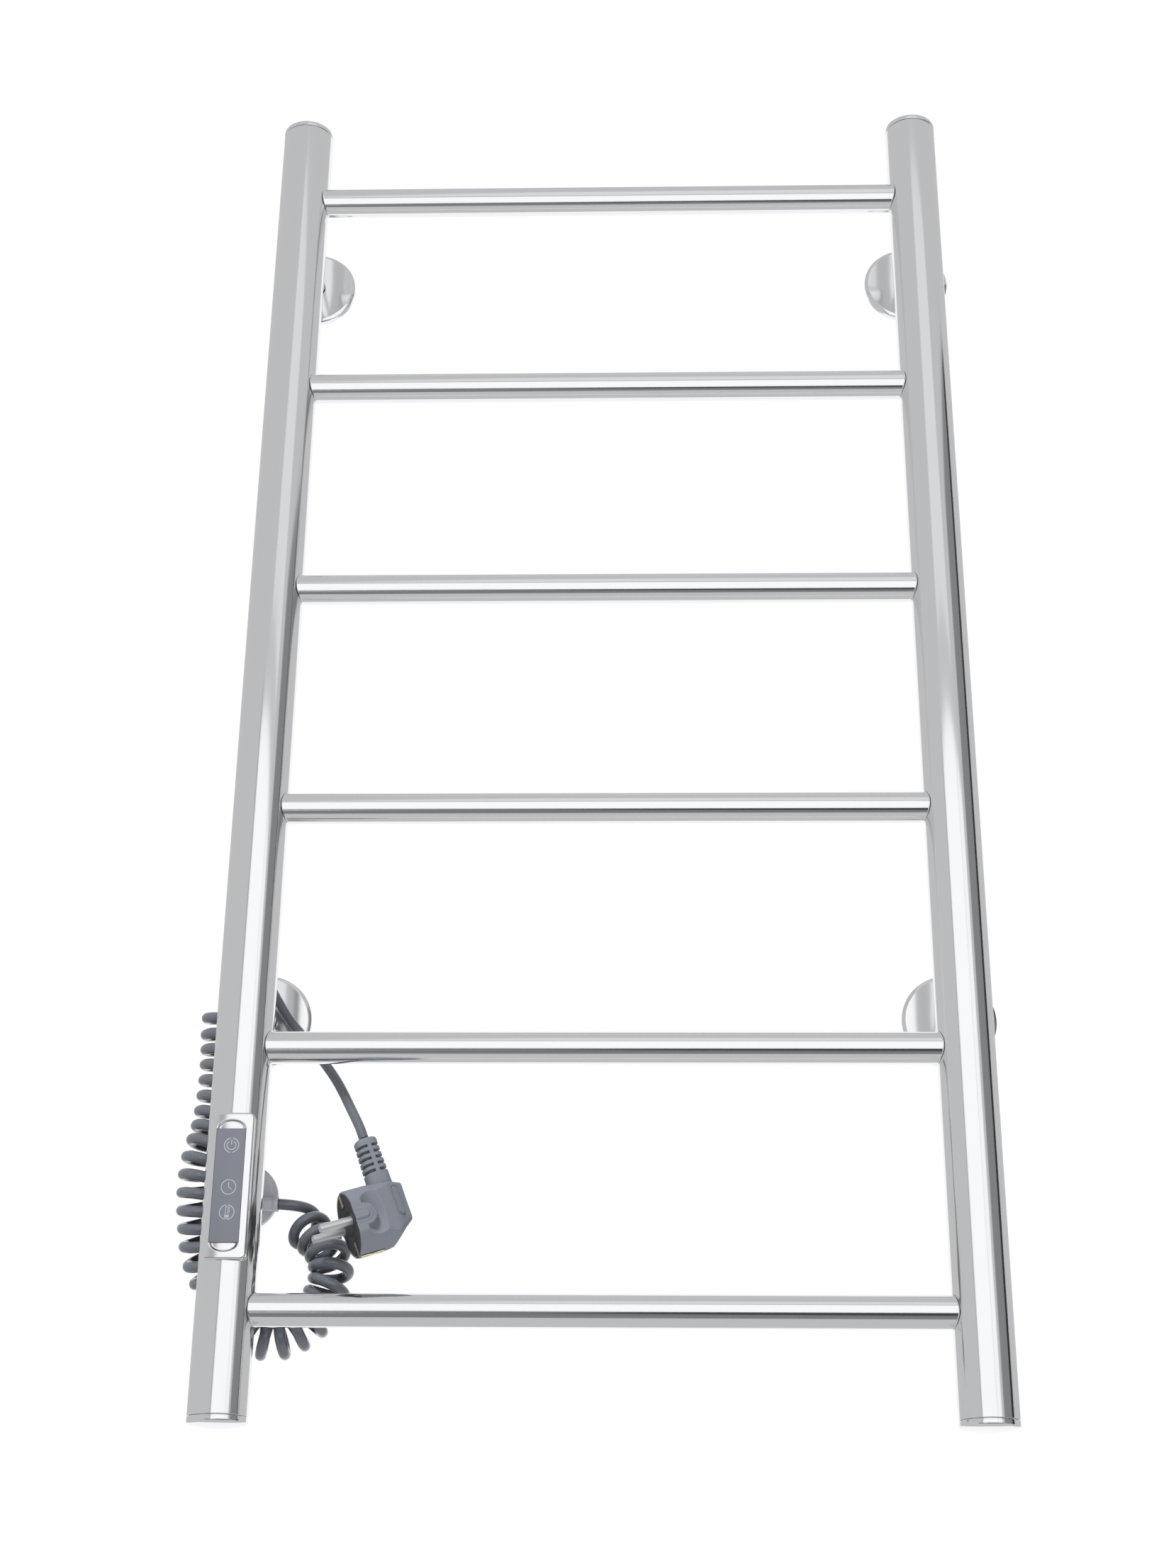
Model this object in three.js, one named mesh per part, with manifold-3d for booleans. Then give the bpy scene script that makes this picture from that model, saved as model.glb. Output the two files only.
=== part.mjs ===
// Electric ladder towel warmer: two uprights, six rungs, four wall brackets, a touch panel
// and a curly mains cord with an angled plug. Millimetres, +Z up, wall plane at y = 0,
// z = 0 at the lower end of the uprights, x = 0 midway between them.
import * as THREE from 'three';
import { mergeVertices } from 'three/addons/utils/BufferGeometryUtils.js';
import Module from 'manifold-3d';

const wasm = await Module();
wasm.setup();

// ---- driving dimensions ----
const GAP = 0.3;                 // clearance between touching pieces
const UPRIGHT_SPACING = 400;     // centre to centre
const UPRIGHT_RADIUS = 16;
const UPRIGHT_WALL = 1.5;
const UPRIGHT_LENGTH = 825;
const STANDOFF = 62;             // wall to the uprights' axes
const RUNG_COUNT = 6;
const RUNG_RADIUS = 9;
const RUNG_WALL = 1.2;
const RUNG_PITCH = 143.6;
const LOWEST_RUNG = 55;
const CABLE_HOLE_RADIUS = 7;     // passage from an upright into a rung
const CAP_BAND = 2.8;
const CAP_RISE = 2.7;
const CAP_SPIGOT = 8;
const BRACKET_HEIGHTS = { bottom: 231.5, top: 747.5 };
const POST_RADIUS = 7;
const POST_BORE = 5.2;
const SOCKET_RADIUS = 4.9;
const SOCKET_FLANGE = 20;
const SCREW_HOLE = 2.4;
const ROSETTE_RADIUS = 27.5;
const ROSETTE_DEPTH = 5;
const PANEL_HEIGHT = 117.8;      // centre of the touch panel
const BEZEL = { width: 24, height: 79, proud: 2.5, corner: 4.5 };
const GLASS = { width: 15.8, height: 61.3, thick: 1.2 };
const BOSS_HEIGHT = 122.8;
const BOSS_RADIUS = 18.2;
const BOSS_NECK = 8.5;
const NOZZLE_DROP = 6;           // nozzle axis below the boss centre
const NOZZLE_TIP = -179.5;
const CORD_RADIUS = 3;
const COIL_RADIUS = 12;          // outside radius of the curly stretch
const PLUG_FACE = [-136.6, -60, 100.3];
const PLUG_TILT = 21;            // degrees, pins below the horizontal
const PLUG_TURN = 20;            // degrees, pins turned away from the wall
const PLUG_RADIUS = 18.4;
const PIN = { radius: 2.4, length: 19, spacing: 19 };
const RELIEF = { from: 18.5, to: 43.4, along: 23.4, radius: 6.7 };

const AXIS_Y = -STANDOFF;
const LEFT = -UPRIGHT_SPACING / 2;
const RIGHT = UPRIGHT_SPACING / 2;
const rungHeight = (number) => LOWEST_RUNG + (number - 1) * RUNG_PITCH;

// Where the curly cord is not coiled its route is a short list of points.
const GLAND_TAIL = [
  [-179.1, -36, 116.8],
  [-176.4, -36, 116.6],
  [-174.2, -34.6, 115.6],
  [-173.2, -31.8, 114.2],
];
const COIL_ROUTE = [
  [-168.0, -24, 107.5],
  [-160.5, -29, 101.6],
  [-151.7, -34, 91.5],
  [-148.4, -36, 79.6],
  [-150.5, -36, 68.1],
  [-157.6, -35, 55.5],
  [-168.3, -33, 47.7],
  [-180.7, -31, 45.0],
  [-194.7, -31, 50.0],
  [-205.8, -33.4, 60.8],
  [-213.3, -36.4, 75.6],
  [-219.0, -40.2, 91.0],
  [-222.2, -43.6, 117.3],
  [-221.8, -43, 138.6],
  [-218.2, -39.4, 159.3],
  [-216.6, -38.2, 179.4],
  [-216.4, -37.9, 198],
  [-216.6, -37.9, 211],
];
const COIL_SPLIT = 0.5;          // share of the route in the lower solid
const COIL_STEPS = 12;
const PLUG_TAIL = [
  [-216.7, -37.9, 212.2],
  [-218.4, -38, 224],
  [-215, -37, 235.5],
  [-208.5, -36, 243],
  [-200, -36, 245.8],
  [-192.5, -36, 241.5],
  [-187.5, -36.5, 234],
  [-180.4, -37.5, 223],
  [-172.3, -39, 213.2],
  [-163.9, -41.5, 203.4],
  [-155.9, -44.5, 193],
  [-149.7, -46.8, 184.2],
  [-145, -48.6, 176.2],
  [-141, -50.1, 168.6],
  [-137.4, -51.2, 161.8],
  [-134.4, -51.9, 155.8],
  [-132.1, -52, 150],
];

// ---- finishes ----
const finish = (color, metalness, roughness) => new THREE.MeshStandardMaterial({ color, metalness, roughness });
const CHROME = finish(0xe4e5e6, 1, 0.04);
const STEEL = finish(0xb9bbbd, 1, 0.3);
const BRASS = finish(0xb9a06a, 1, 0.3);
const GLASS_SLATE = finish(0x4a4d55, 0, 0.06);
const LIGHT_GREY = finish(0xb4b8be, 0, 0.4);
const SLATE = finish(0x686d76, 0, 0.38);
const DARK = finish(0x2c2d30, 0, 0.45);
const BOARD = finish(0x2f5a3c, 0, 0.5);
const INSULATION = finish(0x9a3b2c, 0, 0.55);

// ---- geometry helpers ----
function signedVolume(position, index) {
  const a = new THREE.Vector3();
  const b = new THREE.Vector3();
  const c = new THREE.Vector3();
  let volume = 0;
  for (let i = 0; i < index.length; i += 3) {
    a.fromBufferAttribute(position, index[i]);
    b.fromBufferAttribute(position, index[i + 1]);
    c.fromBufferAttribute(position, index[i + 2]);
    volume += a.dot(b.cross(c));
  }
  return volume;
}

// One welded closed surface with its faces pointing out.
function closed(geometry) {
  const bare = geometry.clone();
  bare.deleteAttribute('normal');
  bare.deleteAttribute('uv');
  const welded = mergeVertices(bare, 1e-4);
  const index = [];
  const source = welded.index.array;
  for (let i = 0; i < source.length; i += 3) {
    const [a, b, c] = [source[i], source[i + 1], source[i + 2]];
    if (a !== b && b !== c && c !== a) index.push(a, b, c);
  }
  if (signedVolume(welded.attributes.position, index) < 0) index.reverse();
  welded.setIndex(index);
  return welded;
}

function toSolid(geometry) {
  const welded = closed(geometry);
  const vertProperties = new Float32Array(welded.attributes.position.array);
  const triVerts = new Uint32Array(welded.index.array);
  return new wasm.Manifold(new wasm.Mesh({ numProp: 3, vertProperties, triVerts }));
}

function fromSolid(solid) {
  const mesh = solid.getMesh();
  const geometry = new THREE.BufferGeometry();
  const stride = mesh.numProp;
  const count = mesh.vertProperties.length / stride;
  const position = new Float32Array(count * 3);
  for (let i = 0; i < count; i += 1) {
    for (let k = 0; k < 3; k += 1) position[3 * i + k] = mesh.vertProperties[stride * i + k];
  }
  geometry.setAttribute('position', new THREE.BufferAttribute(position, 3));
  geometry.setIndex(Array.from(mesh.triVerts));
  return geometry;
}

function cut(geometry, ...tools) {
  let solid = toSolid(geometry);
  for (const tool of tools) solid = solid.subtract(toSolid(tool));
  return fromSolid(solid);
}

const at = (geometry, x, y, z) => geometry.translate(x, y, z);

// Turned solid about the z axis from [radius, height] points.
function turnedZ(profile, segments) {
  const points = profile.map(([radius, height]) => new THREE.Vector2(radius, height));
  return closed(new THREE.LatheGeometry(points, segments).rotateX(Math.PI / 2));
}

const turnedY = (profile, segments) => turnedZ(profile, segments).rotateX(-Math.PI / 2);
const turnedX = (profile, segments) => turnedZ(profile, segments).rotateY(Math.PI / 2);

const hollowProfile = (inner, outer, from, to) => [
  [inner, from],
  [outer, from],
  [outer, to],
  [inner, to],
  [inner, from],
];

const solidProfile = (radius, from, to) => [
  [0, from],
  [radius, from],
  [radius, to],
  [0, to],
];

const uprightEnvelope = (x, clearance) =>
  at(turnedZ(solidProfile(UPRIGHT_RADIUS + clearance, -10, UPRIGHT_LENGTH + 10), 48), x, AXIS_Y, 0);

// Round section swept along a smooth curve through the points.
function tubeAlong(points, radius, sides, steps) {
  const curve = new THREE.CatmullRomCurve3(points.map((p) => new THREE.Vector3(...p)), false, 'centripetal');
  return sweep(curve, radius, sides, steps);
}

function sweep(curve, radius, sides, steps) {
  const section = new THREE.Shape();
  for (let i = 0; i < sides; i += 1) {
    const angle = (2 * Math.PI * i) / sides;
    const point = [radius * Math.cos(angle), radius * Math.sin(angle)];
    if (i === 0) section.moveTo(...point);
    else section.lineTo(...point);
  }
  section.closePath();
  return closed(new THREE.ExtrudeGeometry(section, { extrudePath: curve, steps, bevelEnabled: false }));
}

function roundedPlate(width, height, corner, depth, bevel) {
  const [w, h] = [width / 2 - bevel, height / 2 - bevel];
  const r = corner - bevel;
  const shape = new THREE.Shape();
  shape.moveTo(-w + r, -h);
  shape.lineTo(w - r, -h);
  shape.absarc(w - r, -h + r, r, -Math.PI / 2, 0);
  shape.lineTo(w, h - r);
  shape.absarc(w - r, h - r, r, 0, Math.PI / 2);
  shape.lineTo(-w + r, h);
  shape.absarc(-w + r, h - r, r, Math.PI / 2, Math.PI);
  shape.lineTo(-w, -h + r);
  shape.absarc(-w + r, -h + r, r, Math.PI, 1.5 * Math.PI);
  const options = {
    depth: depth - bevel,
    bevelEnabled: bevel > 0,
    bevelSize: bevel,
    bevelThickness: bevel,
    bevelSegments: 2,
    curveSegments: 4,
  };
  // the plate's front face looks along -y
  return new THREE.ExtrudeGeometry(shape, options).rotateX(Math.PI / 2);
}

const parts = new THREE.Group();

function add(name, geometry, material, group = parts) {
  const mesh = new THREE.Mesh(closed(geometry), material);
  mesh.name = name;
  group.add(mesh);
  return mesh;
}

// ---- ladder ----
function upright(x) {
  const inner = UPRIGHT_RADIUS - UPRIGHT_WALL;
  const tube = at(turnedZ(hollowProfile(inner, UPRIGHT_RADIUS, 0, UPRIGHT_LENGTH), 40), x, AXIS_Y, 0);
  const inward = x < 0 ? 1 : -1;
  const tools = [];
  for (let number = 1; number <= RUNG_COUNT; number += 1) {
    const hole = turnedX(solidProfile(CABLE_HOLE_RADIUS, 5, UPRIGHT_RADIUS + 2), 12);
    if (inward < 0) hole.rotateZ(Math.PI);
    tools.push(at(hole, x, AXIS_Y, rungHeight(number)));
  }
  if (x < 0) {
    const slot = new THREE.BoxGeometry(12.6, 8, 54);
    tools.push(at(slot, x, AXIS_Y - UPRIGHT_RADIUS, PANEL_HEIGHT));
    const entry = turnedY(solidProfile(4, 5, UPRIGHT_RADIUS + 2), 12);
    tools.push(at(entry, x, AXIS_Y, BOSS_HEIGHT));
  }
  return cut(tube, ...tools);
}

// Rungs are coped to sit on the uprights' round sides.
function rung(number) {
  const reach = UPRIGHT_SPACING / 2;
  const tube = turnedX(hollowProfile(RUNG_RADIUS - RUNG_WALL, RUNG_RADIUS, -reach, reach), 28);
  const placed = at(tube, 0, AXIS_Y, rungHeight(number));
  return cut(placed, uprightEnvelope(LEFT, GAP), uprightEnvelope(RIGHT, GAP));
}

// Domed end cap: a spigot inside the tube, a short band and a shallow dome.
function cap() {
  const spigot = UPRIGHT_RADIUS - UPRIGHT_WALL - GAP;
  const profile = [[0, -CAP_SPIGOT], [spigot - 0.8, -CAP_SPIGOT], [spigot, -CAP_SPIGOT + 0.8], [spigot, GAP]];
  profile.push([UPRIGHT_RADIUS, GAP], [UPRIGHT_RADIUS, CAP_BAND]);
  for (let i = 1; i <= 4; i += 1) {
    const angle = (i / 4) * (Math.PI / 2);
    profile.push([UPRIGHT_RADIUS * Math.cos(angle), CAP_BAND + CAP_RISE * Math.sin(angle)]);
  }
  profile[profile.length - 1][0] = 0;
  return turnedZ(profile, 36);
}

function buildLadder() {
  add('upright_left', upright(LEFT), CHROME);
  add('upright_right', upright(RIGHT), CHROME);
  for (let number = 1; number <= RUNG_COUNT; number += 1) add(`rung_${number}`, rung(number), CHROME);
  for (const [side, x] of [['left', LEFT], ['right', RIGHT]]) {
    add(`cap_top_${side}`, at(cap(), x, AXIS_Y, UPRIGHT_LENGTH), CHROME);
    add(`cap_bottom_${side}`, at(cap().rotateX(Math.PI), x, AXIS_Y, 0), CHROME);
  }
}

// ---- wall brackets ----
function bracketPost(x, z) {
  const end = STANDOFF - 3 - GAP;
  const tube = turnedY(hollowProfile(POST_BORE, POST_RADIUS, 8, end), 20);
  const threaded = turnedZ(solidProfile(2, -POST_RADIUS - 1, -2), 10);
  return cut(at(tube, x, AXIS_Y, z), uprightEnvelope(x, GAP), at(threaded, x, -13, z));
}

// Round base on the wall with a hollow stub that the post slides over.
function wallSocket(x, z) {
  const stub = 28;
  const profile = [
    [SCREW_HOLE, 0],
    [SOCKET_FLANGE, 0],
    [SOCKET_FLANGE, -3],
    [SOCKET_RADIUS, -3],
    [SOCKET_RADIUS, -stub],
    [4, -stub],
    [4, -4.5],
    [SCREW_HOLE, -3],
    [SCREW_HOLE, 0],
  ];
  return at(turnedY(profile, 24), x, 0, z);
}

function setScrew(x, z) {
  return at(turnedZ(solidProfile(1.7, -POST_RADIUS + 0.1, -SOCKET_RADIUS - GAP), 10), x, -13, z);
}

// Bevelled cover disc, hollow behind, free to slide along its post.
function rosette(x, z) {
  const wall = 1.2;
  const front = -ROSETTE_DEPTH;
  const profile = [
    [POST_RADIUS + GAP, front],
    [ROSETTE_RADIUS - 1.8, front],
    [ROSETTE_RADIUS, front + 1.3],
    [ROSETTE_RADIUS, -0.2],
    [ROSETTE_RADIUS - wall, -0.2],
    [ROSETTE_RADIUS - wall, front + 2],
    [ROSETTE_RADIUS - 2.6, front + wall],
    [POST_RADIUS + GAP, front + wall],
    [POST_RADIUS + GAP, front],
  ];
  return at(turnedY(profile, 36), x, 0, z);
}

function buildBrackets() {
  for (const [level, z] of Object.entries(BRACKET_HEIGHTS)) {
    for (const [side, x] of [['left', LEFT], ['right', RIGHT]]) {
      add(`bracket_post_${level}_${side}`, bracketPost(x, z), CHROME);
      add(`wall_socket_${level}_${side}`, wallSocket(x, z), STEEL);
      add(`set_screw_${level}_${side}`, setScrew(x, z), STEEL);
      add(`rosette_${level}_${side}`, rosette(x, z), CHROME);
    }
  }
}

// ---- touch panel ----
const PANEL_FRONT = AXIS_Y - UPRIGHT_RADIUS - BEZEL.proud;

function box(width, depth, height, frontY, z) {
  return at(new THREE.BoxGeometry(width, depth, height), LEFT, frontY + depth / 2, z);
}

// Saddle-shaped surround with a glass pocket and a scoop above and below it.
function bezel() {
  const depth = 7.5;
  const plate = at(roundedPlate(BEZEL.width, BEZEL.height, BEZEL.corner, depth, 1.2), LEFT, 0, PANEL_HEIGHT);
  plate.computeBoundingBox();
  plate.translate(0, PANEL_FRONT - plate.boundingBox.min.y, 0);
  const pocket = box(GLASS.width + 2 * GAP, 6, GLASS.height + 2 * GAP, PANEL_FRONT - 4, PANEL_HEIGHT);
  const well = box(12.6, 12, 54, PANEL_FRONT - 1, PANEL_HEIGHT);
  const tools = [uprightEnvelope(LEFT, GAP), pocket, well];
  for (const sign of [-1, 1]) {
    const scoop = new THREE.SphereGeometry(1, 14, 8).scale(7.6, 1.3, 4.2);
    tools.push(at(scoop, LEFT, PANEL_FRONT, PANEL_HEIGHT + sign * (GLASS.height / 2 + 3.2)));
  }
  return cut(plate, ...tools);
}

function gasket() {
  const frame = box(15, 0.5, 60.4, PANEL_FRONT + 1.4, PANEL_HEIGHT);
  return cut(frame, box(12.6, 2, 57, PANEL_FRONT + 1, PANEL_HEIGHT));
}

function buildPanel() {
  add('panel_bezel', bezel(), CHROME);
  add('touch_glass', box(GLASS.width, GLASS.thick - 0.1, GLASS.height, PANEL_FRONT, PANEL_HEIGHT), GLASS_SLATE);
  add('panel_gasket', gasket(), DARK);
  add('touch_board', box(11.8, 1.2, 53, PANEL_FRONT + 2.4, PANEL_HEIGHT), BOARD);
  add('control_board', box(21, 1.6, 72, AXIS_Y - 5, PANEL_HEIGHT + 2), BOARD);
  add('mains_relay', box(12, 7.5, 16, AXIS_Y - 3, PANEL_HEIGHT + 26), DARK);
  add('terminal_block', box(12, 8.5, 14, AXIS_Y - 3, PANEL_HEIGHT - 22), LIGHT_GREY);
  const sensor = turnedZ([[0, -5], [1.6, -5], [2.2, -4], [2.2, 4], [1.6, 5], [0, 5]], 12);
  add('thermal_sensor', at(sensor, LEFT + 10.5, AXIS_Y + 3, PANEL_HEIGHT + 45), STEEL);
}

// Heating cable: straight stretches in the rungs and the uprights.
function buildHeating() {
  const radius = 2.5;
  const stretch = (length) => [[0, 0], [radius - 0.7, 0], [radius, 0.7], [radius, length - 0.7]]
    .concat([[radius - 0.7, length], [0, length]]);
  const span = UPRIGHT_SPACING - 2 * UPRIGHT_RADIUS - 6;
  for (let number = 1; number <= RUNG_COUNT; number += 1) {
    const rod = turnedX(stretch(span), 10);
    add(`heating_cable_rung_${number}`, at(rod, -span / 2, AXIS_Y, rungHeight(number)), INSULATION);
  }
  const top = UPRIGHT_LENGTH - 25;
  add('heating_cable_left', at(turnedZ(stretch(top - 175), 10), LEFT, AXIS_Y, 175), INSULATION);
  add('heating_cable_right', at(turnedZ(stretch(top - 30), 10), RIGHT, AXIS_Y, 30), INSULATION);
}

// ---- cord outlet behind the left upright ----
function boss() {
  const [front, back] = [31.5, 40];
  const profile = [
    [0, 8],
    [BOSS_NECK, 8],
    [BOSS_NECK, front],
    [BOSS_RADIUS - 3, front],
    [BOSS_RADIUS, front + 3.5],
    [BOSS_RADIUS, back - 1.5],
    [BOSS_RADIUS - 1.5, back],
    [0, back],
  ];
  const body = at(turnedY(profile, 36), LEFT, AXIS_Y, BOSS_HEIGHT);
  return cut(body, uprightEnvelope(LEFT, GAP));
}

function nozzle() {
  const root = LEFT + BOSS_NECK - 1;
  const length = NOZZLE_TIP - root;
  const profile = [
    [0, 0],
    [3.9, 0],
    [3.5, length - 3],
    [4.2, length - 3],
    [4.2, length - 0.5],
    [3.8, length],
    [0, length],
  ];
  const z = BOSS_HEIGHT - NOZZLE_DROP;
  const neck = at(turnedY(solidProfile(BOSS_NECK + GAP, 8, 31.2), 36), LEFT, AXIS_Y, BOSS_HEIGHT);
  return cut(at(turnedX(profile, 16), root, -36, z), neck);
}

// ---- curly cord ----
// A stretch of the coiled route, from one share of its length to another.
class CoilStretch extends THREE.Curve {
  constructor(from, to) {
    super();
    this.from = from;
    this.to = to;
    this.route = new THREE.CatmullRomCurve3(COIL_ROUTE.map((p) => new THREE.Vector3(...p)), false, 'centripetal');
  }

  getPoint(t, target = new THREE.Vector3()) {
    return this.route.getPointAt(this.from + (this.to - this.from) * t, target);
  }
}

const coil = (from, to) => sweep(new CoilStretch(from, to), COIL_RADIUS, 12, COIL_STEPS);

function buildCord() {
  add('cord_boss', boss(), LIGHT_GREY);
  add('cord_nozzle', nozzle(), LIGHT_GREY);
  add('cord_tail_gland', tubeAlong(GLAND_TAIL, CORD_RADIUS, 10, 5), SLATE);
  add('cord_coil_lower', coil(0, COIL_SPLIT - 0.002), SLATE);
  add('cord_coil_upper', coil(COIL_SPLIT + 0.002, 1), SLATE);
  add('cord_tail_plug', tubeAlong(PLUG_TAIL, CORD_RADIUS, 10, 22), SLATE);
}

// ---- angled plug ----
// Local axes: x away from the pins, z towards the cord, y across the two pins.
const BODY_STATIONS = [
  { along: 2.6, half: PLUG_RADIUS, low: -PLUG_RADIUS, high: PLUG_RADIUS, power: 2 },
  { along: 10, half: PLUG_RADIUS, low: -PLUG_RADIUS, high: PLUG_RADIUS, power: 2 },
  { along: 16, half: 17.4, low: -18.2, high: 18.2, power: 2.3 },
  { along: 22.5, half: 14, low: -16, high: 17.6, power: 2.8 },
  { along: 28.5, half: 12, low: -10.5, high: 16.4, power: 3.4 },
  { along: 33.5, half: 9, low: -7, high: 14.5, power: 4 },
];

function stationRing({ along, half, low, high, power }, sides) {
  const [middle, reach] = [(low + high) / 2, (high - low) / 2];
  const ring = [];
  for (let i = 0; i < sides; i += 1) {
    const angle = (2 * Math.PI * i) / sides;
    const [c, s] = [Math.cos(angle), Math.sin(angle)];
    const round = (v) => Math.sign(v) * Math.abs(v) ** (2 / power);
    ring.push([along, half * round(c), middle + reach * round(s)]);
  }
  return ring;
}

function loft(stations, sides) {
  const rings = stations.map((station) => stationRing(station, sides));
  const position = rings.flat(2);
  const index = [];
  for (let k = 0; k + 1 < rings.length; k += 1) {
    for (let i = 0; i < sides; i += 1) {
      const [a, b] = [k * sides + i, k * sides + ((i + 1) % sides)];
      index.push(a, b, a + sides, b, b + sides, a + sides);
    }
  }
  const last = (rings.length - 1) * sides;
  for (let i = 1; i + 1 < sides; i += 1) {
    index.push(0, i + 1, i);
    index.push(last, last + i, last + i + 1);
  }
  const geometry = new THREE.BufferGeometry();
  geometry.setAttribute('position', new THREE.Float32BufferAttribute(position, 3));
  geometry.setIndex(index);
  return geometry;
}

const plugFrame = new THREE.Group();
plugFrame.position.set(...PLUG_FACE);
plugFrame.rotation.order = 'YXZ';
plugFrame.rotation.y = THREE.MathUtils.degToRad(-PLUG_TILT);
plugFrame.rotation.z = THREE.MathUtils.degToRad(PLUG_TURN);
parts.add(plugFrame);

const earthSlot = (sign, grow) =>
  at(new THREE.BoxGeometry(14 + grow, 5 + grow, 1.6 + grow), 6, 0, sign * (PLUG_RADIUS - 1.4));

function plugBody() {
  const tools = [earthSlot(1, 2 * GAP), earthSlot(-1, 2 * GAP)];
  return cut(loft(BODY_STATIONS, 28), ...tools);
}

function plugFace() {
  const disc = turnedX(solidProfile(PLUG_RADIUS - 0.4, 0, 2.3), 32);
  const tools = [earthSlot(1, 2 * GAP), earthSlot(-1, 2 * GAP)];
  for (const sign of [-1, 1]) {
    tools.push(at(turnedX(solidProfile(PIN.radius + GAP, -1, 1.8), 14), 0, (sign * PIN.spacing) / 2, 0));
  }
  return cut(disc, ...tools);
}

function pin(sign) {
  const tip = -PIN.length;
  const profile = [[0, tip], [1.2, tip], [2.1, tip + 0.7], [PIN.radius, tip + 1.8], [PIN.radius, 1.5], [0, 1.5]];
  return at(turnedX(profile, 16), 0, (sign * PIN.spacing) / 2, 0);
}

function strainRelief() {
  const { from, to, radius } = RELIEF;
  const tip = 0.9 * radius;
  const profile = [[0, from], [radius, from], [tip, to - 2.5], [tip - 2, to], [0, to]];
  return at(turnedZ(profile, 16), RELIEF.along, 0, 0);
}

function buildPlug() {
  add('plug_body', plugBody(), SLATE, plugFrame);
  add('plug_face', plugFace(), DARK, plugFrame);
  add('plug_pin_front', pin(-1), STEEL, plugFrame);
  add('plug_pin_rear', pin(1), STEEL, plugFrame);
  add('plug_earth_clip_upper', earthSlot(1, 0), BRASS, plugFrame);
  add('plug_earth_clip_lower', earthSlot(-1, 0), BRASS, plugFrame);
  add('plug_strain_relief', strainRelief(), SLATE, plugFrame);
}

buildLadder();
buildBrackets();
buildPanel();
buildHeating();
buildCord();
buildPlug();

export default parts;
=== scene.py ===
"""Looks of an electric ladder towel warmer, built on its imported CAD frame.

Lengths are in metres. The rack hangs on a wall plane at y = 0 and faces -y; z is up.
"""

import math

import bmesh
import bpy
import numpy as np
from mathutils import Matrix, Vector


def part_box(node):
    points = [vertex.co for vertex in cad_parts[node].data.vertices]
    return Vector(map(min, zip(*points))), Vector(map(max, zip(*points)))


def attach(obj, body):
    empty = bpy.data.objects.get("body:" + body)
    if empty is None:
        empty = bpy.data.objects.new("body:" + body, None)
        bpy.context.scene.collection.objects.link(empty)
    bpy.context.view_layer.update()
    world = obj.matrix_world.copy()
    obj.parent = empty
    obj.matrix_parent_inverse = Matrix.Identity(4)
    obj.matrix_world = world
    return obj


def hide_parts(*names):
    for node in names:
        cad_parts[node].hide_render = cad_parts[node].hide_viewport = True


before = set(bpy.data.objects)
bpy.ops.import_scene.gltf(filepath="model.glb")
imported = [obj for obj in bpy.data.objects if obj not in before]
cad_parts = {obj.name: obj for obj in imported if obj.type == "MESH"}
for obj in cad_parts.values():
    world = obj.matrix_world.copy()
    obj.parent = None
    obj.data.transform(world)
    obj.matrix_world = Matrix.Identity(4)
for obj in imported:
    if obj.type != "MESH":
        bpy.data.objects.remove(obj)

bl_info = {
    "name": "Ladder towel warmer",
    "version": (1, 0, 0),
    "blender": (4, 5, 0),
    "location": "View3D > Sidebar > Towel warmer",
    "description": "Builds a chrome ladder towel warmer with a touch panel and a curly cord",
    "category": "Add Mesh",
}

RACK = "rack"
SIDES = ("left", "right")
LEVELS = ("bottom", "top")
RUNGS = range(1, 7)
MM = 0.001


def length(name, description, default):
    """A length property, in metres."""
    return bpy.props.FloatProperty(
        name=name, description=description, default=default, unit="LENGTH", precision=5
    )


def tint(name, description, *default):
    """A colour property, linear."""
    return bpy.props.FloatVectorProperty(
        name=name, description=description, default=default, size=3, subtype="COLOR", min=0.0, max=1.0
    )


class RackSizes(bpy.types.PropertyGroup):
    """Sizes that the frame doesn't give."""

    tube_edge: length("Tube edge", "Rounding of an upright's cut ends", 0.35 * MM)
    weld_fillet: length("Weld fillet", "Fillet where a rung meets an upright", 0.7 * MM)
    cord_radius: length("Cord radius", "Radius of the cord's jacket in the curls", 3.05 * MM)
    coil_radius: length("Curl radius", "Radius of the curl's centreline", 9.5 * MM)
    coil_pitch: length("Curl pitch", "Advance of the curl in one turn", 9.3 * MM)
    bezel_corner: length("Surround corner", "Corner radius of the panel surround", 3.0 * MM)
    bezel_fillet: length("Surround edge", "Edge radius of the panel surround", 1.3 * MM)
    scoop_reach: length("Scoop height", "Height of the scoops above and below the glass", 5.0 * MM)
    scoop_depth: length("Scoop depth", "Depth of the scoops", 1.2 * MM)
    icon_radius: length("Icon radius", "Outer radius of an icon's ring", 3.9 * MM)
    icon_line: length("Icon line", "Line width of the icons", 0.3 * MM)


class RackColours(bpy.types.PropertyGroup):
    """Base colours of the finishes."""

    chrome: tint("Chrome", "Polished tubes and covers", 0.93, 0.93, 0.93)
    steel: tint("Steel", "Pins, sockets and set screws", 0.34, 0.335, 0.325)
    slate: tint("Slate", "Cord and plug", 0.115, 0.128, 0.15)
    light_grey: tint("Light grey", "Cord outlet", 0.5, 0.53, 0.58)
    # black also colours the band of painted recess shade under each earth strip.
    black: tint("Black", "Plug face and housings", 0.022, 0.022, 0.024)
    glass: tint("Glass", "Touch panel", 0.024, 0.024, 0.027)
    icon: tint("Icons", "Print on the touch panel", 0.5, 0.52, 0.56)
    brass: tint("Earth contacts", "Nickelled contact strips", 0.26, 0.26, 0.255)
    board: tint("Circuit board", "Solder mask", 0.03, 0.13, 0.06)
    jacket: tint("Heating cable", "Silicone jacket", 0.35, 0.06, 0.03)


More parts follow.
